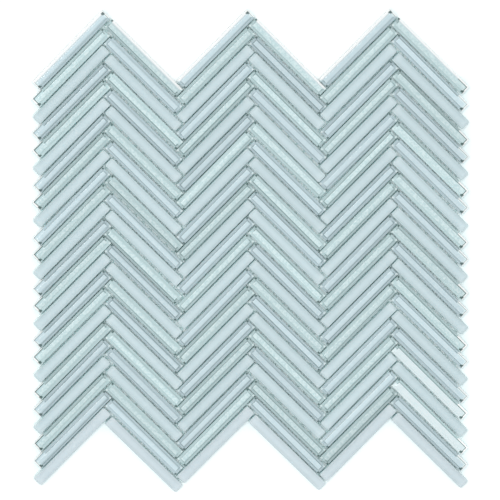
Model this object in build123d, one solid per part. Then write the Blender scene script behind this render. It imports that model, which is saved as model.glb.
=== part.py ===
"""Net-backed glass mosaic sheet in a 45 degree herringbone, in millimetres.

The sheet lies face up. X runs across the columns, Y along them and Z up out of the face.
The origin is under the middle of the sheet, on the plane that the net lies on.
"""

import os
from math import floor, sqrt

from build123d import *

# Glass sticks
STICK_LENGTH = 65.5
STICK_WIDTH = 7.0
STICK_THICKNESS = 6.0

# Face edges: polished sticks have a wide shallow bevel ground all round, frosted sticks a soft round
BEVEL_RUN = 2.0
BEVEL_DROP = 0.7
FROSTED_ROUND = 0.9

# Laying pattern
JOINT = 1.0
COLUMNS = 6
GROUPS = 8
RISING_ORDER = ("clear", "shimmer", "frosted")
FALLING_ORDER = ("shimmer", "clear", "frosted")
# Groups, by column, whose first two sticks were laid the other way round
SWAPPED_GROUPS = {0: (6, 7), 5: (6,)}

# Woven glass-fibre net behind the sticks
NET_MESH = 5.0
YARN_WIDTH = 0.8
YARN_THICKNESS = 0.25
NET_INSET = 2.0

# Worked out from the values above
ROWS = GROUPS * len(RISING_ORDER)
COLUMN_PITCH = (STICK_LENGTH + JOINT) / sqrt(2)
ROW_PITCH = (STICK_WIDTH + JOINT) * sqrt(2)
STICK_REACH = (STICK_LENGTH + STICK_WIDTH) / (2 * sqrt(2))
SHEET_HALF_WIDTH = (COLUMNS - 1) / 2 * COLUMN_PITCH + STICK_REACH
SHEET_HALF_LENGTH = ((ROWS - 1) / 2 + 0.25) * ROW_PITCH + STICK_REACH
NOTCH_DEPTH = STICK_WIDTH / sqrt(2)
STICK_BASE_Z = 2 * YARN_THICKNESS


def slope_of(column: int) -> int:
    """Even columns rise to the right, odd columns fall."""
    return 1 if column % 2 == 0 else -1


def stick_centre(column: int, row: int) -> tuple[float, float]:
    """Middle of a stick in plan; rows count from the top, and falling columns sit half a row lower."""
    x = (column - (COLUMNS - 1) / 2) * COLUMN_PITCH
    y = ((ROWS - 1) / 2 - row + slope_of(column) / 4) * ROW_PITCH
    return x, y


def finish_of(column: int, row: int) -> str:
    """Finish of a stick: every column repeats the three finishes in its own order."""
    order = RISING_ORDER if slope_of(column) > 0 else FALLING_ORDER
    group, place = divmod(row, len(order))
    if order[place] != "frosted" and group in SWAPPED_GROUPS.get(column, ()):
        place = 1 - place
    return order[place]


def stick_blank() -> Part:
    """Square-cut bar, its back on the plane Z = 0."""
    return Box(STICK_LENGTH, STICK_WIDTH, STICK_THICKNESS, align=(Align.CENTER, Align.CENTER, Align.MIN))


def polished_stick() -> Part:
    """Clear or shimmer bar with a shallow bevel ground round its face."""
    bar = stick_blank()
    face = bar.faces().sort_by(Axis.Z)[-1]
    return chamfer(face.edges(), BEVEL_RUN, BEVEL_DROP, reference=face)


def frosted_stick() -> Part:
    """Etched bar whose face edges are softly rounded."""
    bar = stick_blank()
    return fillet(bar.faces().sort_by(Axis.Z)[-1].edges(), FROSTED_ROUND)


def column_of_sticks(column: int, finish: str, stick: Part) -> Compound:
    """All the sticks of one finish in one column, lying on the net."""
    placed = []
    for row in range(ROWS):
        if finish_of(column, row) == finish:
            x, y = stick_centre(column, row)
            placed.append(Pos(x, y, STICK_BASE_Z) * Rot(Z=45 * slope_of(column)) * stick)
    return Compound(placed)


def net_outline() -> Face:
    """Shape that the net is cut to: zigzag top and bottom, straight sides inside the stick ends."""
    side = SHEET_HALF_WIDTH - NOTCH_DEPTH - NET_INSET
    folds = [(k - COLUMNS / 2) * COLUMN_PITCH - ROW_PITCH / 4 for k in range(1, COLUMNS)]
    edge = (STICK_WIDTH / 2 - NET_INSET) * sqrt(2)
    top, bottom = [], []
    for index, x in enumerate([-side, *folds, side]):
        column = min(index, COLUMNS - 1)
        first_x, first_y = stick_centre(column, 0)
        last_x, last_y = stick_centre(column, ROWS - 1)
        top.append((x, first_y + slope_of(column) * (x - first_x) + edge))
        bottom.append((x, last_y + slope_of(column) * (x - last_x) - edge))
    return make_face(Polyline(*top, *reversed(bottom), close=True))


def yarn_layer(outline: Face, along_x: bool, base_z: float) -> Compound:
    """One set of parallel yarns; stubs too short to cross a yarn of the other set are trimmed off."""
    reach = SHEET_HALF_LENGTH if along_x else SHEET_HALF_WIDTH
    count = floor(reach / NET_MESH)
    yarns = []
    for step in range(-count, count + 1):
        if along_x:
            strip = Pos(0, step * NET_MESH) * Rectangle(2 * SHEET_HALF_WIDTH, YARN_WIDTH)
        else:
            strip = Pos(step * NET_MESH, 0) * Rectangle(YARN_WIDTH, 2 * SHEET_HALF_LENGTH)
        for face in (Sketch([outline]) & strip).faces():
            size = face.bounding_box().size
            if (size.X if along_x else size.Y) > NET_MESH + YARN_WIDTH:
                yarns.append(Pos(0, 0, base_z) * extrude(face, YARN_THICKNESS, dir=(0, 0, 1)))
    return Compound(yarns)


def main() -> None:
    """Build every node and write one STEP file for each."""
    os.makedirs("parts", exist_ok=True)
    sticks = {"clear": polished_stick(), "shimmer": polished_stick(), "frosted": frosted_stick()}
    nodes = {}
    for column in range(COLUMNS):
        for finish, stick in sticks.items():
            nodes[f"column_{column + 1}_{finish}_sticks"] = column_of_sticks(column, finish, stick)
    outline = net_outline()
    nodes["net_weft_yarns"] = yarn_layer(outline, along_x=True, base_z=0.0)
    nodes["net_warp_yarns"] = yarn_layer(outline, along_x=False, base_z=YARN_THICKNESS)
    for name, shape in nodes.items():
        export_step(shape, f"parts/{name}.step")


main()
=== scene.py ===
"""Looks of a net-backed glass mosaic sheet: clear, shimmer and frosted bars, woven net and studio.

The sheet lies face up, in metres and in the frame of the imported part: X across the columns, Y up them and
Z out of the face.
"""

from __future__ import annotations

import logging
import math
import random
from dataclasses import dataclass, field
from enum import Enum
from typing import Any, Iterator, Sequence

import bpy
from mathutils import Matrix, Vector

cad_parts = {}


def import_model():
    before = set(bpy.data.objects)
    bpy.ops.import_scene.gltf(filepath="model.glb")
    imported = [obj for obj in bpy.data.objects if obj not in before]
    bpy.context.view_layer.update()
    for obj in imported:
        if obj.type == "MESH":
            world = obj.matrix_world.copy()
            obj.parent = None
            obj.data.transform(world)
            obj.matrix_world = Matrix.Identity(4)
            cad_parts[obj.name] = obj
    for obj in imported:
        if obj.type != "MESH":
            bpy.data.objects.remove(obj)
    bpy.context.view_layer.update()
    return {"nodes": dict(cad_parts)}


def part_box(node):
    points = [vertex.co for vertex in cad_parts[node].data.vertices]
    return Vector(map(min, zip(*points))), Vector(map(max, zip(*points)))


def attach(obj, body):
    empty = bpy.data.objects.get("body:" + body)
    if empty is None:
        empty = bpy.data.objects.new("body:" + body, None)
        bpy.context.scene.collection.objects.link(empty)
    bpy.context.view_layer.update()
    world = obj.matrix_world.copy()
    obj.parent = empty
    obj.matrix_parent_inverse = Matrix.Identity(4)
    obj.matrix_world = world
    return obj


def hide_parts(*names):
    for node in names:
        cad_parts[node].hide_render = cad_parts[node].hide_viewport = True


LOG = logging.getLogger("mosaic_sheet")
MM = 0.001
ROOT_BODY = "root"
HAND_SEED = 24

# Width over which one zone of a bar passes into the next
BLUR = 0.1 * MM
# How glass bends light and scatters it, the same for every bar
GLASS_BODY = {
    "IOR": 1.52,
    "Subsurface Weight": 0.5,
    "Subsurface Radius": (1.0, 1.0, 1.0),
    "Subsurface Scale": 4.0 * MM,
}
# Mark of a right end at a peak, between 0 in a joint and 1 at the border, and ramps that tell them apart
PEAK_MARK = 0.5
PEAK_SPAN = (0.0, 0.4)
BORDER_SPAN = (0.6, 0.9)
# Groups, by column, whose first two bars were laid the other way round
SWAPPED_GROUPS = {0: (6, 7), 5: (6,)}
# Tones of the bars that stand out, by column and row; a high tone also paints a sheen: a pale face and
# brighter inward bevels
MARKED_TONES_AND_SHEEN = {(5, 19): 1.15, (5, 21): 1.15, (1, 3): 1.05, (4, 22): 0.87}

Colour = tuple[float, float, float]
Point = tuple[float, float, float]
Span = tuple[float, float]

WHITE: Colour = (1.0, 1.0, 1.0)
BLACK: Colour = (0.0, 0.0, 0.0)


def linear(red: int, green: int, blue: int) -> Colour:
    """Turn a display colour of 0 to 255 into the linear values that shaders take.

    Args:
        red: Red on the display scale.
        green: Green on the display scale.
        blue: Blue on the display scale.

    Returns:
        The three linear values, from 0 to 1.
    """
    shares = [channel / 255 for channel in (red, green, blue)]
    return tuple(s / 12.92 if s <= 0.04045 else ((s + 0.055) / 1.055) ** 2.4 for s in shares)


def tube(rings: list[list[Point]]) -> tuple[list[Point], list[list[int]]]:
    """Skin a row of rings that have equal counts of points, and close both ends.

    Args:
        rings: Points of each ring, anticlockwise as seen from the last ring.

    Returns:
        The points and the faces.
    """
    count = len(rings[0])
    points = [point for ring in rings for point in ring]
    faces = [list(reversed(range(count)))]
    for base in range(0, len(points) - count, count):
        for index in range(count):
            after = (index + 1) % count
            faces.append([base + index, base + after, base + count + after, base + count + index])
    faces.append(list(range(len(points) - count, len(points))))
    return points, faces


class Slant(Enum):
    """Which way the bars of a column lean, as the sign of their angle."""

    RISING = 1
    FALLING = -1


class BarKind(Enum):
    """The three finishes of glass bar, by the word that their nodes carry."""

    CLEAR = "clear"
    SHIMMER = "shimmer"
    FROSTED = "frosted"


class YarnSet(Enum):
    """The two sets of yarn in the net, by the word that their nodes carry."""

    WEFT = "weft"
    WARP = "warp"


class Signal:
    """One number or vector in a shader, whose operators add Math nodes to the tree."""

    def __init__(self, shader: Shader, socket: bpy.types.NodeSocket) -> None:
        """Keep the tree and the output socket that the signal comes from."""
        self.shader = shader
        self.socket = socket

    def math(self, operation: str, *others: Any) -> Signal:
        """Combine this signal with others in one Math node.

        Args:
            operation: The Math node's operation.
            others: The second and third operands, as signals or numbers.

        Returns:
            The signal that leaves the node.
        """
        values = {index: value for index, value in enumerate((self, *others))}
        return self.shader.node("ShaderNodeMath", {"operation": operation}, values)

    def __add__(self, other: Any) -> Signal:
        """Sum of two signals."""
        return self.math("ADD", other)

    __radd__ = __add__

    def __mul__(self, other: Any) -> Signal:
        """Product of two signals."""
        return self.math("MULTIPLY", other)

    __rmul__ = __mul__

    def __sub__(self, other: Any) -> Signal:
        """This signal less another."""
        return self.math("SUBTRACT", other)

    def __rsub__(self, other: float) -> Signal:
        """A number less this signal."""
        return (self * -1.0) + other

    def __abs__(self) -> Signal:
        """Size of the signal without its sign."""
        return self.math("ABSOLUTE")

    def most(self, other: Any) -> Signal:
        """The larger of two signals."""
        return self.math("MAXIMUM", other)

    def ramp(self, low: float, high: float) -> Signal:
        """Ease from 0 at low to 1 at high.

        Args:
            low: Value at which the ramp starts.
            high: Value at which the ramp ends; below low, the ramp falls.

        Returns:
            The eased share, from 0 to 1.
        """
        falls = high < low
        span = {"From Min": min(low, high), "From Max": max(low, high)}
        settings = {"interpolation_type": "SMOOTHSTEP"}
        eased = self.shader.node("ShaderNodeMapRange", settings, {"Value": self, **span})
        return 1.0 - eased if falls else eased

    def peak(self, centre: float, reach: float) -> Signal:
        """Rise to 1 at one value and fade to 0 on both sides of it.

        Args:
            centre: Value at which the signal is 1.
            reach: Distance from the centre at which it has faded.

        Returns:
            The peaked share, from 0 to 1.
        """
        return abs(self - centre).ramp(reach, 0.0)


class Shader:
    """The node tree of a material or of the sky, built from signals and mixes."""

    def __init__(self, owner: bpy.types.Material | bpy.types.World) -> None:
        """Start an empty tree on a material or a world."""
        owner.use_nodes = True
        self.owner = owner
        self.tree = owner.node_tree
        self.tree.nodes.clear()

    @staticmethod
    def socket(sockets: Any, key: int | str) -> bpy.types.NodeSocket:
        """Find a socket by place, identifier or name.

        Args:
            sockets: A node's inputs or outputs.
            key: The socket's index, identifier or name.

        Returns:
            The socket.
        """
        if isinstance(key, int):
            return sockets[key]
        named = [s for s in sockets if s.identifier == key] or [s for s in sockets if s.name == key]
        return named[0]

    def add(self, kind: str, settings: dict[str, Any] | None,
            values: dict[Any, Any] | None) -> bpy.types.Node:
        """Add one node, with its settings first and then its sockets.

        Args:
            kind: The node's type.
            settings: Properties of the node.
            values: Numbers, colours or signals by socket.

        Returns:
            The node.
        """
        made = self.tree.nodes.new(kind)
        for name, value in (settings or {}).items():
            setattr(made, name, value)
        for key, value in (values or {}).items():
            target = self.socket(made.inputs, key)
            if isinstance(value, Signal):
                self.tree.links.new(value.socket, target)
            elif isinstance(value, tuple) and len(target.default_value) > len(value):
                target.default_value = (*value, 1.0)
            else:
                target.default_value = value
        return made

    def node(self, kind: str, settings: dict[str, Any] | None = None, values: dict[Any, Any] | None = None,
             output: int | str = 0) -> Signal:
        """Add one node and read one of its outputs.

        Args:
            kind: The node's type.
            settings: Properties of the node.
            values: Numbers, colours or signals by socket.
            output: The output that the returned signal reads.

        Returns:
            The signal that leaves the node.
        """
        return Signal(self, self.socket(self.add(kind, settings, values).outputs, output))

    def other_output(self, signal: Signal, output: int | str) -> Signal:
        """Another output of the node that a signal comes from."""
        return Signal(self, self.socket(signal.socket.node.outputs, output))

    def attribute(self, name: str, output: str) -> Signal:
        """Read a value stored on the mesh.

        Args:
            name: The attribute's name.
            output: Which form of it to read: Vector or Fac.

        Returns:
            The attribute as a signal.
        """
        return self.node("ShaderNodeAttribute", {"attribute_name": name}, None, output)

    def split(self, vector: Signal) -> tuple[Signal, Signal, Signal]:
        """The three parts of a vector."""
        first = self.node("ShaderNodeSeparateXYZ", None, {0: vector})
        return first, self.other_output(first, 1), self.other_output(first, 2)

    def noise(self, place: Signal, scale: float, detail: float = 2.0) -> Signal:
        """Cloudy noise over the surface.

        Args:
            place: Vector that the noise follows.
            scale: Noise cells to the metre.
            detail: How many finer layers are added.

        Returns:
            The noise, from 0 to 1.
        """
        return self.node("ShaderNodeTexNoise", None, {"Vector": place, "Scale": scale, "Detail": detail})

    def stretched(self, place: Signal, stretch: Point) -> Signal:
        """Scale a vector along its axes, so that noise that follows it is drawn out."""
        return self.node("ShaderNodeVectorMath", {"operation": "MULTIPLY"}, {0: place, 1: stretch})

    def mix(self, share: Signal, low: Any, high: Any) -> Signal:
        """Blend two colours.

        Args:
            share: How much of the second colour shows.
            low: Colour at share 0.
            high: Colour at share 1.

        Returns:
            The blended colour.
        """
        values = {"Factor_Float": share, "A_Color": low, "B_Color": high}
        return self.node("ShaderNodeMix", {"data_type": "RGBA"}, values, "Result_Color")

    def scaled(self, colour: Signal, factor: Signal) -> Signal:
        """Brighten or darken a colour by a factor."""
        return self.node("ShaderNodeVectorMath", {"operation": "SCALE"}, {0: colour, "Scale": factor})

    def bump(self, height: Signal, strength: float, distance: float) -> Signal:
        """Turn a height into a normal.

        Args:
            height: Relief, from 0 to 1.
            strength: How strongly the relief shows.
            distance: Height of the relief in metres.

        Returns:
            The normal.
        """
        values = {"Height": height, "Strength": strength, "Distance": distance}
        return self.node("ShaderNodeBump", None, values)

    def surface(self, values: dict[str, Any]) -> bpy.types.Material:
        """Finish a material with a Principled surface.

        Args:
            values: Numbers, colours or signals by the surface's socket names.

        Returns:
            The material.
        """
        principled = self.node("ShaderNodeBsdfPrincipled", None, values)
        self.add("ShaderNodeOutputMaterial", None, {"Surface": principled})
        return self.owner


@dataclass(frozen=True)
class BarSize:
    """Sizes of one glass bar and of the edge round its face, in metres."""

    length: float = 65.5 * MM
    width: float = 7.0 * MM
    height: float = 6.0 * MM
    edge_run: float = 2.0 * MM
    edge_drop: float = 0.7 * MM
    corner_radius: float = 0.3 * MM
    corner_steps: int = 3
    arris: float = 0.12 * MM

    def profile(self) -> list[tuple[float, float]]:
        """Section of the side from the back up to the face.

        Returns:
            Pairs of inset from the side and height above the back.
        """
        slope = Vector((self.edge_run, self.edge_drop)).normalized() * self.arris
        shoulder = self.height - self.edge_drop
        return [
            (self.arris, 0.0),
            (0.0, self.arris),
            (0.0, shoulder - self.arris),
            (slope.x, shoulder + slope.y),
            (self.edge_run - slope.x, self.height - slope.y),
            (self.edge_run + self.arris, self.height),
        ]

    def ring(self, inset: float) -> list[tuple[float, float]]:
        """Plan of the bar at one level, with rounded corners.

        Args:
            inset: Distance of the ring inside the bar's sides.

        Returns:
            Points anticlockwise from above.
        """
        radius = max(self.corner_radius - inset, self.arris / 2)
        reach_x = self.length / 2 - inset - radius
        reach_y = self.width / 2 - inset - radius
        points = []
        for quarter, (side_x, side_y) in enumerate(((1, 1), (-1, 1), (-1, -1), (1, -1))):
            for step in range(self.corner_steps + 1):
                angle = math.pi / 2 * (quarter + step / self.corner_steps)
                points.append((side_x * reach_x + radius * math.cos(angle),
                               side_y * reach_y + radius * math.sin(angle)))
        return points

    def mesh(self, off_x: float, off_y: float) -> tuple[list[Point], list[list[int]]]:
        """One closed bar, its back on Z = 0 and its length along X.

        Args:
            off_x: How far the face is ground off centre along the bar.
            off_y: How far the face is ground off centre across the bar.

        Returns:
            The points and the faces.
        """
        rings = []
        for inset, z in self.profile():
            share = min(inset / self.edge_run, 1.0)
            rings.append([(x + off_x * share, y + off_y * share, z) for x, y in self.ring(inset)])
        return tube(rings)


@dataclass(frozen=True)
class FrostedBarSize(BarSize):
    """A frosted bar, whose face edge is rounded instead of bevelled."""

    edge_run: float = 0.9 * MM
    edge_drop: float = 0.9 * MM
    corner_radius: float = 1.3 * MM
    corner_steps: int = 5
    round_steps: int = 5

    def profile(self) -> list[tuple[float, float]]:
        """Section of the side from the back up to the face, with its rounded edge.

        Returns:
            Pairs of inset from the side and height above the back.
        """
        section = [(self.arris, 0.0), (0.0, self.arris)]
        for step in range(self.round_steps + 1):
            angle = math.pi / 2 * step / self.round_steps
            section.append((self.edge_run * (1 - math.cos(angle)),
                            self.height - self.edge_drop * (1 - math.sin(angle))))
        return section


@dataclass(frozen=True)
class BarPlace:
    """Where a point lies on its bar, and which of the bar's edges border on no other, as signals."""

    along: Signal
    across: Signal
    up: Signal
    from_end: Signal
    from_side: Signal
    right_half: Signal
    upper_side: Signal
    on_end: Signal
    left: Signal
    right: Signal
    outer: Signal

    @classmethod
    def read(cls, shader: Shader, size: BarSize) -> BarPlace:
        """Read the place from what is stored on the mesh.

        Args:
            shader: The material's tree.
            size: The bar's sizes.

        Returns:
            The place.
        """
        along, across, up = shader.split(shader.attribute("bar_place", "Vector"))
        left, right, outer = shader.split(shader.attribute("bar_bare", "Vector"))
        from_end = size.length / 2 - abs(along)
        from_side = size.width / 2 - abs(across)
        return cls(along, across, up, from_end, from_side, right_half=along.ramp(-BLUR, BLUR),
                   upper_side=across.ramp(-BLUR, BLUR), on_end=(from_side - from_end).ramp(-BLUR, BLUR),
                   left=left, right=right, outer=outer)

    def right_border(self) -> Signal:
        """1 on bars whose right end is at the sheet's border, and not on those that end at a peak."""
        return self.right.ramp(*BORDER_SPAN)

    def bare_end(self, with_peaks: bool) -> Signal:
        """1 on the half of a bar by an end at the sheet's border, and by one at a peak if those count."""
        right = self.right.ramp(*PEAK_SPAN) if with_peaks else self.right_border()
        return right * self.right_half + self.left * (1.0 - self.right_half)


@dataclass(frozen=True)
class PolishedGlass:
    """Polished bar: bright grainy face, greyer bevel with a painted shade line at each edge, and pale green
    sides.

    Where it borders on no other bar, its bevels turn white with painted light, with a painted shade outline
    and painted dark corners, and its walls have a deeper tint.
    Heights on the bevel are shares of its drop: 0 at the foot and 1 at the face.
    """

    name: str
    size: BarSize
    face: Colour
    sparkle: Colour
    bevel: Colour
    inner_line: Colour
    # inner_line, outer_line: painted shade lines along the bevel's inner and outer edges, also at the tops of
    # the walls in the joints
    outer_line: Colour
    side: Colour
    # Colour of the painted dark shade in corners and outlines
    dark_shade: Colour
    glint: Colour
    top_edge: Colour
    wall: Colour
    outline: float
    outline_level: float
    grain: float
    grain_scale: float
    roughness: float
    # pale: colour of the painted sheen on the bars that stand out and on bright bevels
    pale: Colour = linear(208, 219, 222)
    # border: white of the painted light on bevels and walls at the sheet's border
    border: Colour = linear(246, 250, 250)
    # Face: its grain, the painted sheen of the bars that stand out and the painted shade line inside its
    # right-hand edge
    grain_span: Span = (0.35, 0.65)
    marked_tone: Span = (1.08, 1.12)
    marked_share: float = 0.6
    edge_line: Span = (3.0 * MM, 2.0 * MM)
    # Bevel: a painted highlight at its bright tones, and painted shade lines at its inner and outer edge
    bright_tone: Span = (1.25, 1.4)
    bright_share: float = 0.85
    inner_span: Span = (0.6, 0.72)
    lined_tone: Span = (1.1, 0.93)
    least_line: float = 0.12
    outer_span: Span = (0.12, 0.048)
    outer_share: float = 0.15
    patch_share: float = 0.3
    patch_scale: float = 420.0
    patch_span: Span = (0.3, 0.6)
    patch_stretch: Point = (0.15, 1.0, 1.0)
    # Edges that border on no other bar: painted light in white and a painted shade outline
    step: float = 9.2 * MM
    step_blur: float = 0.4 * MM
    step_line: Span = (0.4, 0.2)
    top_span: Span = (0.95, 0.3)
    outline_reach: float = 0.3
    outline_blur: float = 0.2
    # Corners: painted dark shade at two corners and painted glints at the others
    bevel_corner: Span = (1.7 * MM, 1.02 * MM)
    face_corner: Span = (1.3 * MM, 0.7 * MM)
    face_corner_place: float = 1.6 * MM
    lean_blur: float = 1e-9
    dark_shade_share: float = 0.9
    glint_share: float = 0.7
    # Sides, and where one zone passes into the next
    side_shade: Span = (-0.35, 0.0)
    lit_share: float = 0.8
    bevel_starts: Span = (-0.05, 0.05)
    face_starts: Span = (0.93, 0.99)
    # Unevenness of the whole bar
    cloud_scale: float = 150.0
    cloud_tone: float = 0.06
    cloud_roughness: float = 0.05
    wave_scale: float = 140.0
    wave_stretch: Point = (0.35, 1.0, 1.0)
    wave_strength: float = 0.25
    wave_height: float = 0.03 * MM

    def bareness(self, place: BarPlace) -> tuple[Signal, Signal, Signal]:
        """Find where the edge borders on no other bar.

        Args:
            place: Place on the bar.

        Returns:
            1 by a bare end or right-hand step, 1 by a bare top side, and 1 by the upper side of a left-hand
            step.
        """
        at_end = (self.step - place.from_end).ramp(-self.step_blur, self.step_blur)
        on_upper = place.upper_side * (1.0 - place.on_end)
        right_step = at_end * place.right_border() * place.right_half * on_upper
        bare = place.bare_end(True) * place.on_end + right_step
        bare_top = place.outer * on_upper * (1.0 - bare)
        bare_step = at_end * place.left * (1.0 - place.right_half) * (1.0 - place.outer) * on_upper
        return bare, bare_top, bare_step

    def corners(self, shader: Shader, place: BarPlace) -> tuple[Signal, Signal]:
        """Find the corners of the bevel, or of the face by a bare end.

        Args:
            shader: The material's tree.
            place: Place on the bar.

        Returns:
            Share of the painted dark shade in the corners at the top and foot of the leaning bar, and share
            of the painted glint in the others.
        """
        bare_end = place.bare_end(True)
        corner = place.from_end.most(place.from_side).ramp(*self.bevel_corner)
        off_end = abs(place.from_end - self.face_corner_place)
        off_side = abs(place.from_side - self.face_corner_place)
        corner = corner + (off_end.most(off_side).ramp(*self.face_corner) - corner) * bare_end
        lean = place.along * place.across * shader.attribute("bar_slant", "Fac")
        leaning = lean.ramp(-self.lean_blur, self.lean_blur)
        glint = corner * (1.0 - leaning) * (1.0 - bare_end) * self.glint_share
        return corner * leaning * self.dark_shade_share, glint

    def face_colour(self, shader: Shader, place: BarPlace, spread: Signal, tone: Signal) -> Signal:
        """Colour the face: its grain, a painted sheen on the bars that stand out and a painted shade line
        inside its right-hand edge.

        Args:
            shader: The material's tree.
            place: Place on the bar.
            spread: Place on the bar, apart for each bar.
            tone: The bar's own tone.

        Returns:
            The colour.
        """
        speckle = shader.noise(spread, self.grain_scale, 3.0).ramp(*self.grain_span)
        colour = shader.mix(speckle * self.grain, self.face, self.sparkle)
        marked = tone.ramp(*self.marked_tone) * (self.marked_share + speckle * (1.0 - self.marked_share))
        colour = shader.mix(marked, colour, self.pale)
        right_side = (place.across * shader.attribute("bar_slant", "Fac")).ramp(BLUR, -BLUR)
        line = place.from_side.ramp(*self.edge_line) * right_side * shader.attribute("bar_line", "Fac")
        return shader.mix(line, colour, self.inner_line)

    def bevel_colour(self, shader: Shader, place: BarPlace, spread: Signal, climb: Signal) -> Signal:
        """Colour the bevel between bars: greyer than the face in a tone set for each side, a painted
        highlight where that tone is high, and painted shade lines at its inner and outer edge.

        Args:
            shader: The material's tree.
            place: Place on the bar.
            spread: Place on the bar, apart for each bar.
            climb: Height on the bevel.

        Returns:
            The colour.
        """
        _, above, below = shader.split(shader.attribute("bar_vary", "Vector"))
        tone = below + (above - below) * place.upper_side
        bright = tone.ramp(*self.bright_tone) * self.bright_share
        colour = shader.mix(bright, shader.scaled(self.bevel, tone), self.pale)
        lined = self.least_line + tone.ramp(*self.lined_tone) * (1.0 - self.least_line)
        colour = shader.mix(climb.ramp(*self.inner_span) * lined, colour, self.inner_line)
        patchy = shader.noise(shader.stretched(spread, self.patch_stretch), self.patch_scale)
        share = self.outer_share + patchy.ramp(*self.patch_span) * self.patch_share
        return shader.mix(climb.ramp(*self.outer_span) * share, colour, self.outer_line)

    def border_colour(self, shader: Shader, from_end: Signal, climb: Signal, bevel: Signal,
                      edges: tuple[Signal, Signal, Signal]) -> Signal:
        """Colour the bevel where it borders on no other bar: painted light in white towards its foot, with a
        painted shade outline.

        Args:
            shader: The material's tree.
            from_end: Distance from the bar's end.
            climb: Height on the bevel.
            bevel: Colour of the bevel elsewhere.
            edges: Where the bar borders on no other.

        Returns:
            The colour.
        """
        bare, bare_top, bare_step = edges
        level = self.outline_level
        below_line = (level, level - self.outline_blur)
        top = shader.mix(climb.ramp(*self.top_span), self.top_edge, self.border)
        colour = shader.mix(bare_top, bevel, top)
        reach = from_end * (1 / self.size.edge_run)
        step = shader.mix(climb.ramp(*self.step_line) * self.outline, self.face, self.dark_shade)
        step = shader.mix(reach.peak(level, self.outline_reach) * self.outline, step, self.dark_shade)
        step = shader.mix(reach.ramp(*below_line), step, self.border)
        colour = shader.mix(bare_step, colour, step)
        end = shader.mix(climb.peak(level, self.outline_reach) * self.outline, self.glint, self.dark_shade)
        end = shader.mix(climb.ramp(*below_line), end, self.border)
        return shader.mix(bare, colour, end)

    def side_colour(self, shader: Shader, climb: Signal, edges: tuple[Signal, Signal, Signal]) -> Signal:
        """Colour the sides: light in the joints under a painted shade band at their top, white with painted
        light below a pale bevel, and green at a bare end.

        Args:
            shader: The material's tree.
            climb: Height against the bevel, below 0 on the sides.
            edges: Where the bar borders on no other.

        Returns:
            The colour.
        """
        bare, bare_top, bare_step = edges
        lit = bare_top + bare_step
        shaded = climb.ramp(*self.side_shade) * (1.0 - bare - lit)
        colour = shader.mix(shaded, self.side, self.outer_line)
        colour = shader.mix(lit * self.lit_share, colour, self.border)
        return shader.mix(bare, colour, self.wall)

    def zones(self, shader: Shader, spread: Signal, tone: Signal) -> Signal:
        """Colour by zone: sides, bevel with its corners, and face.

        Args:
            shader: The material's tree.
            spread: Place on the bar, apart for each bar.
            tone: The bar's own tone.

        Returns:
            The colour.
        """
        place = BarPlace.read(shader, self.size)
        shoulder = self.size.height - self.size.edge_drop
        climb = (place.up - shoulder) * (1 / self.size.edge_drop)
        edges = self.bareness(place)
        dark_shade, glint = self.corners(shader, place)
        bevel = self.bevel_colour(shader, place, spread, climb)
        bevel = self.border_colour(shader, place.from_end, climb, bevel, edges)
        bevel = shader.mix(dark_shade, bevel, self.dark_shade)
        bevel = shader.mix(glint, bevel, self.glint)
        sides = self.side_colour(shader, climb, edges)
        face = self.face_colour(shader, place, spread, tone)
        below_face = shader.mix(climb.ramp(*self.bevel_starts), sides, bevel)
        return shader.mix(climb.ramp(*self.face_starts), below_face, face)

    def material(self) -> bpy.types.Material:
        """Build the finish.

        Returns:
            The material.
        """
        shader = Shader(bpy.data.materials.new(self.name))
        spread = shader.attribute("bar_spread", "Vector")
        tone, _, _ = shader.split(shader.attribute("bar_vary", "Vector"))
        cloud = shader.noise(spread, self.cloud_scale)
        wave = shader.noise(shader.stretched(spread, self.wave_stretch), self.wave_scale, 1.0)
        uneven = tone + (cloud - 0.5) * self.cloud_tone
        return shader.surface({
            **GLASS_BODY,
            "Base Color": shader.scaled(self.zones(shader, spread, tone), uneven),
            "Roughness": self.roughness + cloud * self.cloud_roughness,
            "Normal": shader.bump(wave, self.wave_strength, self.wave_height),
        })


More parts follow.
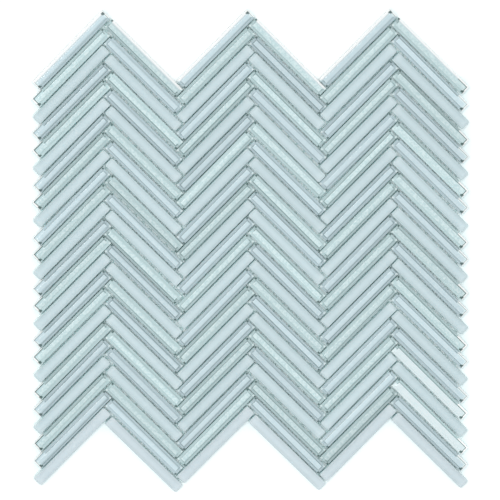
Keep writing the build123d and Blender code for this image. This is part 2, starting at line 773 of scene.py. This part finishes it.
@dataclass(frozen=True)
class FrostedGlass:
    """Etched bar: pale blue, deeper towards its sides and rim, paler near its ends and light down its sides.

    Bars at the foot of the sheet are a little warmer, and walls at the sheet's border have a deeper tint.
    """

    name: str
    size: BarSize
    face: Colour = linear(201, 219, 224)
    edge: Colour = linear(183, 202, 206)
    end: Colour = linear(210, 225, 229)
    side: Colour = linear(231, 251, 252)
    wall: Colour = linear(202, 226, 230)
    foot: Colour = linear(214, 215, 223)
    flat_half: float = 0.2 * MM
    end_reach: float = 7.0 * MM
    end_share: float = 0.6
    rim_span: Span = (2.2 * MM, 0.66 * MM)
    rim_share: float = 0.55
    foot_share: float = 0.22
    side_starts: Span = (0.6, 1.4)
    roughness: float = 0.5
    cloud_scale: float = 160.0
    cloud_tone: float = 0.05
    cloud_roughness: float = 0.12
    grain_scale: float = 4500.0
    grain_tone: float = 0.03
    grain_strength: float = 0.35
    grain_height: float = 0.02 * MM

    def zones(self, shader: Shader) -> Signal:
        """Colour by zone: face, ends, rim and sides.

        Args:
            shader: The material's tree.

        Returns:
            The colour.
        """
        place = BarPlace.read(shader, self.size)
        foot = place.outer.ramp(0.0, -1.0)
        bare = place.bare_end(False) * place.on_end + foot * (1.0 - place.upper_side) * (1.0 - place.on_end)
        near_side = abs(place.across).ramp(self.flat_half, self.size.width / 2)
        colour = shader.mix(near_side, self.face, self.edge)
        colour = shader.mix(place.from_end.ramp(self.end_reach, 0.0) * self.end_share, colour, self.end)
        colour = shader.mix(place.from_end.ramp(*self.rim_span) * self.rim_share, colour, self.edge)
        colour = shader.mix(foot * self.foot_share, colour, self.foot)
        high, low = (self.size.height - self.size.edge_drop * share for share in self.side_starts)
        return shader.mix(place.up.ramp(high, low), colour, shader.mix(bare, self.side, self.wall))

    def material(self) -> bpy.types.Material:
        """Build the finish.

        Returns:
            The material.
        """
        shader = Shader(bpy.data.materials.new(self.name))
        spread = shader.attribute("bar_spread", "Vector")
        tone, _, _ = shader.split(shader.attribute("bar_vary", "Vector"))
        cloud = shader.noise(spread, self.cloud_scale, 3.0)
        grain = shader.noise(spread, self.grain_scale)
        uneven = tone + (cloud - 0.5) * self.cloud_tone + (grain - 0.5) * self.grain_tone
        return shader.surface({
            **GLASS_BODY,
            "Base Color": shader.scaled(self.zones(shader), uneven),
            "Roughness": self.roughness + cloud * self.cloud_roughness,
            "Normal": shader.bump(grain, self.grain_strength, self.grain_height),
        })


@dataclass(frozen=True)
class FibreYarn:
    """White glass-fibre yarn: fine filaments along it under a thin binder."""

    name: str
    along_x: bool
    fibre: Colour = linear(230, 251, 252)
    binder: Colour = linear(225, 247, 248)
    binder_scale: float = 260.0
    binder_span: Span = (0.4, 0.65)
    filament_scale: float = 9000.0
    filament_stretch: float = 0.04
    filament_tone: float = 0.15
    filament_strength: float = 0.5
    filament_height: float = 0.03 * MM
    darkest: float = 0.9
    roughness: float = 0.45
    filament_roughness: float = 0.25

    def material(self) -> bpy.types.Material:
        """Build the finish.

        Returns:
            The material.
        """
        shader = Shader(bpy.data.materials.new(self.name))
        place = shader.node("ShaderNodeTexCoord", None, None, "Object")
        stretch = (self.filament_stretch, 1.0, 1.0) if self.along_x else (1.0, self.filament_stretch, 1.0)
        filaments = shader.noise(shader.stretched(place, stretch), self.filament_scale)
        blotches = shader.noise(place, self.binder_scale, 3.0).ramp(*self.binder_span)
        colour = shader.mix(blotches, self.fibre, self.binder)
        return shader.surface({
            "Base Color": shader.scaled(colour, self.darkest + filaments * self.filament_tone),
            "Roughness": self.roughness + filaments * self.filament_roughness,
            "Normal": shader.bump(filaments, self.filament_strength, self.filament_height),
        })


@dataclass(frozen=True)
class Layout:
    """How the bars are laid: true 45 degree herringbone with one joint all round each bar."""

    bar: BarSize = field(default_factory=BarSize)
    joint: float = 1.0 * MM
    columns: int = 6
    groups: int = 8

    @property
    def rows(self) -> int:
        """Bars in a column."""
        return self.groups * len(BarKind)

    @property
    def column_pitch(self) -> float:
        """Distance between the middles of neighbouring columns."""
        return (self.bar.length + self.joint) / math.sqrt(2)

    @property
    def row_pitch(self) -> float:
        """Distance between the middles of neighbouring bars in a column."""
        return (self.bar.width + self.joint) * math.sqrt(2)

    def slant(self, column: int) -> Slant:
        """Even columns rise to the right and odd columns fall."""
        return Slant.RISING if column % 2 == 0 else Slant.FALLING

    def centre(self, column: int, row: int) -> tuple[float, float]:
        """Middle of a bar in plan; rows count from the top.

        Args:
            column: Column from the left, from 0.
            row: Row from the top, from 0.

        Returns:
            X and Y of the bar's middle.
        """
        x = (column - (self.columns - 1) / 2) * self.column_pitch
        y = ((self.rows - 1) / 2 - row + self.slant(column).value / 4) * self.row_pitch
        return x, y

    def kind(self, column: int, row: int) -> BarKind:
        """Finish of a bar: each column repeats the three, and a few groups are laid the other way round.

        Args:
            column: Column from the left, from 0.
            row: Row from the top, from 0.

        Returns:
            The bar's finish.
        """
        group, place = divmod(row, len(BarKind))
        if place == len(BarKind) - 1:
            return BarKind.FROSTED
        swapped = group in SWAPPED_GROUPS.get(column, ())
        first_is_clear = (self.slant(column) is Slant.RISING) != swapped
        return BarKind.CLEAR if (place == 0) == first_is_clear else BarKind.SHIMMER


@dataclass
class BarColumn:
    """All the bars of one finish in one column, joined in one mesh that stands for their node."""

    layout: Layout
    size: BarSize
    kind: BarKind
    column: int
    base: float
    hand: random.Random
    tone_spread: float
    bevel_spread: float
    slide: float = 0.24 * MM
    stray: float = 0.13 * MM
    turn: float = math.radians(0.22)
    roll: float = math.radians(0.35)
    face_stray: float = 0.15 * MM
    # Painted highlight on shimmer bevels that face the middle of the sheet, and painted shade on those that
    # face out
    inward_gain: float = 0.16
    outward_loss: float = 0.06
    pale_gain: float = 3.0
    # Painted shade line inside the right-hand edge of each face, fading across the sheet
    line_share: float = 0.42
    rising_line_fade: float = 9.0
    falling_line_fade: float = 3.0
    column_apart: float = 0.37
    row_apart: float = 0.11

    @property
    def node(self) -> str:
        """Name of the node that the bars stand for."""
        return f"column_{self.column + 1}_{self.kind.value}_sticks"

    def wander(self, spread: float) -> float:
        """A small hand-laid departure, never over twice its usual size."""
        return max(-2 * spread, min(2 * spread, self.hand.gauss(0.0, spread)))

    def laid(self, row: int) -> Matrix:
        """Place of one bar, a little off true as a hand lays it.

        Args:
            row: Row from the top, from 0.

        Returns:
            The matrix from the bar's own axes to the sheet's.
        """
        x, y = self.layout.centre(self.column, row)
        lean = self.wander(self.roll)
        lift = self.size.width / 2 * math.sin(abs(lean))
        heading = math.radians(45 * self.layout.slant(self.column).value) + self.wander(self.turn)
        shift = Matrix.Translation((self.wander(self.slide), self.wander(self.stray), 0.0))
        turned = Matrix.Rotation(heading, 4, "Z")
        return Matrix.Translation((x, y, self.base + lift)) @ turned @ shift @ Matrix.Rotation(lean, 4, "X")

    def bevel_tone(self, side: int, row: int) -> float:
        """Tone of one long bevel: on shimmer bars a painted highlight brightens those that face the middle of
        the sheet, most on the bars that stand out, and painted shade darkens those that face out.

        Args:
            side: 1 for the upper bevel, -1 for the lower.
            row: Row from the top, from 0.

        Returns:
            The tone, near 1.
        """
        tone = 1.0 + self.wander(self.bevel_spread)
        if self.kind is not BarKind.SHIMMER:
            return tone
        middle = (self.layout.columns - 1) / 2
        inward = (self.column - middle) / middle * self.layout.slant(self.column).value * side
        pale = max(MARKED_TONES_AND_SHEEN.get((self.column, row), 1.0) - 1.0, 0.0)
        if inward < 0:
            return tone + inward * self.outward_loss
        return tone + inward * (self.inward_gain + pale * self.pale_gain)

    def bare_edges(self, row: int) -> tuple[float, float, float]:
        """Tell where a bar borders on no other.

        Args:
            row: Row from the top, from 0.

        Returns:
            1 for a bare left end; 1 for a bare right end, or less at a peak; 1 for a bare top side, or -1 for
            a bare lower side.
        """
        top = row == 0
        foot = row == self.layout.rows - 1
        peak = top and self.layout.slant(self.column) is Slant.RISING
        right = 1.0 if self.column == self.layout.columns - 1 else PEAK_MARK * peak
        return float(self.column == 0), right, float(top) - float(foot)

    def edge_line(self) -> float:
        """Strength of the painted shade line just inside the right-hand edge of a face, which fades towards
        the right.
        """
        rising = self.layout.slant(self.column) is Slant.RISING
        fade = self.rising_line_fade if rising else self.falling_line_fade
        return self.line_share * max(0.0, 1.0 - self.column / fade)

    def rows(self) -> Iterator[int]:
        """Rows of this column that have this finish."""
        return (row for row in range(self.layout.rows) if self.layout.kind(self.column, row) is self.kind)

    def build(self) -> bpy.types.Object:
        """Make the joined mesh with each bar's own place, tone and slant stored on it.

        Returns:
            The piece.
        """
        placed: list[Vector] = []
        polygons: list[list[int]] = []
        names = ("bar_place", "bar_spread", "bar_vary", "bar_bare")
        stored: dict[str, list[Sequence[float]]] = {name: [] for name in names}
        for row in self.rows():
            points, faces = self.size.mesh(self.wander(self.face_stray), self.wander(self.face_stray))
            matrix = self.laid(row)
            tone = MARKED_TONES_AND_SHEEN.get((self.column, row), 1.0 + self.wander(self.tone_spread))
            # The bar's tone, then the tones of its upper and lower bevel with their painted highlight and
            # shade
            tones = (tone, self.bevel_tone(1, row), self.bevel_tone(-1, row))
            apart = Vector((self.column * self.column_apart, row * self.row_apart, 0.0))
            start = len(placed)
            placed.extend(matrix @ Vector(point) for point in points)
            polygons.extend([start + index for index in face] for face in faces)
            stored["bar_place"].extend(points)
            stored["bar_spread"].extend(Vector(point) + apart for point in points)
            stored["bar_vary"].extend(tones for _ in points)
            stored["bar_bare"].extend(self.bare_edges(row) for _ in points)
        mesh = bpy.data.meshes.new(self.node.replace("sticks", "bars"))
        mesh.from_pydata(placed, [], polygons)
        mesh.shade_smooth()
        for name, vectors in stored.items():
            self.store(mesh, name, "FLOAT_VECTOR", [value for vector in vectors for value in vector])
        self.store(mesh, "bar_slant", "FLOAT", [self.layout.slant(self.column).value] * len(placed))
        self.store(mesh, "bar_line", "FLOAT", [self.edge_line()] * len(placed))
        piece = bpy.data.objects.new(mesh.name, mesh)
        bpy.context.scene.collection.objects.link(piece)
        weighted = piece.modifiers.new("flat_faces", "WEIGHTED_NORMAL")
        weighted.keep_sharp = True
        return piece

    @staticmethod
    def store(mesh: bpy.types.Mesh, name: str, kind: str, values: Sequence[float]) -> None:
        """Keep one value or vector for each point of a mesh.

        Args:
            mesh: The mesh.
            name: The attribute's name.
            kind: FLOAT or FLOAT_VECTOR.
            values: All the numbers, in the points' order.
        """
        attribute = mesh.attributes.new(name, kind, "POINT")
        attribute.data.foreach_set("vector" if kind == "FLOAT_VECTOR" else "value", values)

    def dress(self, piece: bpy.types.Object, finish: bpy.types.Material) -> None:
        """Give the bars their finish, hide the node that they stand for and tie them to their body.

        Args:
            piece: The bars.
            finish: Their material.
        """
        piece.data.materials.append(finish)
        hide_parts(self.node)
        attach(piece, ROOT_BODY)


@dataclass
class FibreNet:
    """One set of yarns of the woven net, waving over and under the other set."""

    yarns: YarnSet
    cad: bpy.types.Object
    mesh_pitch: float = 5.0 * MM
    yarn_width: float = 0.8 * MM
    yarn_height: float = 0.25 * MM
    sides: int = 8
    steps_to_mesh: int = 2

    @property
    def node(self) -> str:
        """Name of the node that the yarns stand for."""
        return f"net_{self.yarns.value}_yarns"

    def spans(self) -> list[tuple[float, float, float]]:
        """Lines of the yarns, read from the solids that they stand for.

        Returns:
            For each yarn its place across, and where it starts and ends along its line.
        """
        along = 0 if self.yarns is YarnSet.WEFT else 1
        spans = []
        for part in self.loose_parts():
            line = [point[along] for point in part]
            across = [point[1 - along] for point in part]
            lane = round((min(across) + max(across)) / 2 / self.mesh_pitch) * self.mesh_pitch
            spans.append((lane, min(line), max(line)))
        return sorted(spans)

    def loose_parts(self) -> list[list[Point]]:
        """Points of the node's solids, one list for each solid.

        Returns:
            The points of each solid.
        """
        mesh = self.cad.data
        keys = [tuple(round(value, 6) for value in vertex.co) for vertex in mesh.vertices]
        parent: dict[Point, Point] = {key: key for key in keys}

        def top(key: Point) -> Point:
            """Follow a point to the head of its group."""
            while parent[key] != key:
                parent[key] = parent[parent[key]]
                key = parent[key]
            return key

        for polygon in mesh.polygons:
            first, *rest = (keys[index] for index in polygon.vertices)
            for key in rest:
                parent[top(key)] = top(first)
        groups: dict[Point, list[Point]] = {}
        for key in parent:
            groups.setdefault(top(key), []).append(key)
        return list(groups.values())

    def knots(self, start: float, end: float) -> list[float]:
        """Places along a yarn where its tube has a ring: both ends and even steps between them.

        Args:
            start: Where the yarn starts.
            end: Where the yarn ends.

        Returns:
            The places, in order.
        """
        step = self.mesh_pitch / self.steps_to_mesh
        margin = step / 4
        even = (index * step for index in range(math.floor(start / step) + 1, math.ceil(end / step) + 1))
        return [start, *(knot for knot in even if start + margin < knot < end - margin), end]

    def ring(self, lane: float, knot: float) -> list[Point]:
        """Points round a yarn at one place, where it rises over a crossing or dips under it.

        Args:
            lane: The yarn's place across.
            knot: The place along the yarn.

        Returns:
            The points, anticlockwise as seen from the yarn's end.
        """
        phase = 0 if self.yarns is YarnSet.WEFT else 1
        wave = math.cos(math.pi * (knot / self.mesh_pitch + round(lane / self.mesh_pitch) + phase))
        middle = self.yarn_height + wave * self.yarn_height / 2
        flat = math.cos(math.pi / self.sides)
        points = []
        for side in range(self.sides):
            angle = 2 * math.pi * (side + 0.5) / self.sides
            off = math.cos(angle) / flat * self.yarn_width / 2
            z = middle + math.sin(angle) / flat * self.yarn_height / 2
            points.append((knot, lane + off, z) if self.yarns is YarnSet.WEFT else (lane - off, knot, z))
        return points

    def build(self) -> bpy.types.Object:
        """Make the yarns as flattened tubes that rise and dip from crossing to crossing.

        Returns:
            The piece.
        """
        points: list[Point] = []
        faces: list[list[int]] = []
        for lane, start, end in self.spans():
            base = len(points)
            yarn, skin = tube([self.ring(lane, knot) for knot in self.knots(start, end)])
            points.extend(yarn)
            faces.extend([base + index for index in face] for face in skin)
        mesh = bpy.data.meshes.new(f"net_{self.yarns.value}")
        mesh.from_pydata(points, [], faces)
        mesh.shade_smooth()
        piece = bpy.data.objects.new(mesh.name, mesh)
        bpy.context.scene.collection.objects.link(piece)
        return piece

    def dress(self, piece: bpy.types.Object, finish: bpy.types.Material) -> None:
        """Give the yarns their finish, hide the node that they stand for and tie them to their body.

        Args:
            piece: The yarns.
            finish: Their material.
        """
        piece.data.materials.append(finish)
        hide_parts(self.node)
        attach(piece, ROOT_BODY)


@dataclass(frozen=True)
class Studio:
    """White floor, even sky, one soft key light and a long lens above the sheet.

    The floor glows faintly towards the lens, so that it is plain white there; in the joints its teal glow is
    painted light that stands in for light coming through the glass.
    """

    field_of_view: float = 326.7 * MM
    distance: float = 4.6
    clip_end: float = 100.0
    sensor: float = 36.0
    aim: Point = (-1.0 * MM, 1.2 * MM, 6.5 * MM)
    lean: tuple[float, float] = (-0.09, 0.115)
    sky: float = 0.79
    key_level: float = 0.25
    key_zenith: float = math.radians(15)
    key_heading: float = math.radians(135)
    key_spread: float = math.radians(18)
    floor_reach: float = 40.0
    # Tinted glow that the lens sees on the floor: painted light in the joints between the bars
    floor_glow: Colour = (0.04, 0.09, 0.1)

    def camera(self) -> bpy.types.Object:
        """Long lens that looks down on the sheet from a little to its upper left, as in the photograph.

        Returns:
            The camera.
        """
        data = bpy.data.cameras.new("camera")
        data.lens = self.sensor * self.distance / self.field_of_view
        data.sensor_width = self.sensor
        data.clip_end = self.clip_end
        camera = bpy.data.objects.new("camera", data)
        back = Vector((*self.lean, math.sqrt(1 - self.lean[0] ** 2 - self.lean[1] ** 2)))
        right = Vector((0, 1, 0)).cross(back).normalized()
        turn = Matrix((right, back.cross(right), back)).transposed()
        place = Vector(self.aim) + back * self.distance
        camera.matrix_world = Matrix.Translation(place) @ turn.to_4x4()
        bpy.context.scene.collection.objects.link(camera)
        bpy.context.scene.camera = camera
        return camera

    def key_light(self) -> bpy.types.Object:
        """Soft key from the upper left.

        Returns:
            The lamp.
        """
        data = bpy.data.lights.new("key", "SUN")
        data.energy = self.key_level * math.pi / math.cos(self.key_zenith)
        data.angle = self.key_spread
        lamp = bpy.data.objects.new("key", data)
        towards = Vector((
            math.sin(self.key_zenith) * math.cos(self.key_heading),
            math.sin(self.key_zenith) * math.sin(self.key_heading),
            math.cos(self.key_zenith),
        ))
        lamp.rotation_euler = towards.to_track_quat("Z", "Y").to_euler()
        bpy.context.scene.collection.objects.link(lamp)
        return lamp

    def world(self) -> None:
        """Even white sky, plain white where the lens sees it, also in a reflection or through glass."""
        world = bpy.data.worlds.new("sky")
        shader = Shader(world)
        direct = shader.node("ShaderNodeLightPath", None, None, "Is Camera Ray")
        mirrored = shader.other_output(direct, "Is Glossy Ray")
        through = shader.other_output(direct, "Is Transmission Ray")
        seen = direct.most(mirrored).most(through)
        strength = self.sky + seen * (1.0 - self.sky)
        light = shader.node("ShaderNodeBackground", None, {"Color": WHITE, "Strength": strength})
        shader.add("ShaderNodeOutputWorld", None, {"Surface": light})
        bpy.context.scene.world = world

    def floor(self) -> bpy.types.Object:
        """White floor that the sheet lies on.

        Returns:
            The floor.
        """
        reach = self.floor_reach
        corners = [(-reach, -reach, 0), (reach, -reach, 0), (reach, reach, 0), (-reach, reach, 0)]
        mesh = bpy.data.meshes.new("floor")
        mesh.from_pydata(corners, [], [[0, 1, 2, 3]])
        floor = bpy.data.objects.new("floor", mesh)
        bpy.context.scene.collection.objects.link(floor)
        shader = Shader(bpy.data.materials.new("floor_white"))
        seen = shader.node("ShaderNodeLightPath", None, None, "Is Camera Ray")
        mesh.materials.append(shader.surface({
            "Base Color": WHITE,
            "Roughness": 1.0,
            "Specular IOR Level": 0.0,
            "Emission Color": shader.mix(seen, BLACK, self.floor_glow),
            "Emission Strength": 1.0,
        }))
        return floor

    def build(self) -> None:
        """Set up camera, light, sky, floor and plain colour handling."""
        self.camera()
        self.key_light()
        self.world()
        self.floor()
        bpy.context.scene.view_settings.view_transform = "Standard"


def finishes(sizes: dict[BarKind, BarSize]) -> dict[BarKind, bpy.types.Material]:
    """Make the three glass finishes.

    Args:
        sizes: Bar sizes by finish.

    Returns:
        Materials by finish.
    """
    clear = PolishedGlass(
        name="clear_glass",
        size=sizes[BarKind.CLEAR],
        face=linear(200, 219, 225),
        sparkle=linear(214, 230, 236),
        bevel=linear(179, 198, 204),
        inner_line=linear(134, 156, 160),
        outer_line=linear(174, 194, 199),
        side=linear(231, 251, 252),
        dark_shade=linear(64, 92, 91),
        glint=linear(222, 238, 240),
        top_edge=linear(186, 202, 207),
        wall=linear(194, 224, 227),
        outline=0.5,
        outline_level=0.5,
        grain=0.3,
        grain_scale=500.0,
        roughness=0.1,
    )
    shimmer = PolishedGlass(
        name="shimmer_glass",
        size=sizes[BarKind.SHIMMER],
        face=linear(193, 216, 219),
        sparkle=linear(222, 238, 239),
        bevel=linear(179, 201, 203),
        inner_line=linear(132, 157, 158),
        outer_line=linear(172, 194, 196),
        side=linear(229, 251, 251),
        dark_shade=linear(56, 88, 85),
        glint=linear(222, 240, 240),
        top_edge=linear(198, 214, 218),
        wall=linear(190, 224, 224),
        outline=1.0,
        outline_level=0.7,
        grain=0.65,
        grain_scale=700.0,
        roughness=0.12,
    )
    frosted = FrostedGlass(name="frosted_glass", size=sizes[BarKind.FROSTED])
    return {BarKind.CLEAR: clear.material(), BarKind.SHIMMER: shimmer.material(),
            BarKind.FROSTED: frosted.material()}


def main() -> None:
    """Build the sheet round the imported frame."""
    logging.basicConfig(level=logging.INFO, format="%(message)s")
    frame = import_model()
    layout = Layout()
    sizes = {BarKind.CLEAR: BarSize(), BarKind.SHIMMER: BarSize(), BarKind.FROSTED: FrostedBarSize()}
    tone_spread = {BarKind.CLEAR: 0.026, BarKind.SHIMMER: 0.035, BarKind.FROSTED: 0.012}
    bevel_spread = {BarKind.CLEAR: 0.035, BarKind.SHIMMER: 0.06, BarKind.FROSTED: 0.0}
    glass = finishes(sizes)
    hand = random.Random(HAND_SEED)
    for column in range(layout.columns):
        for kind in BarKind:
            low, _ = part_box(f"column_{column + 1}_{kind.value}_sticks")
            bars = BarColumn(layout, sizes[kind], kind, column, low.z, hand, tone_spread[kind],
                             bevel_spread[kind])
            piece = bars.build()
            bars.dress(piece, glass[kind])
            LOG.info("%s: %d faces", piece.name, len(piece.data.polygons))
    for yarns in YarnSet:
        finish = FibreYarn(f"{yarns.value}_yarn", yarns is YarnSet.WEFT)
        net = FibreNet(yarns, frame["nodes"][f"net_{yarns.value}_yarns"])
        piece = net.build()
        net.dress(piece, finish.material())
        LOG.info("%s: %d faces", piece.name, len(piece.data.polygons))
    Studio().build()


if __name__ == "__main__":
    main()
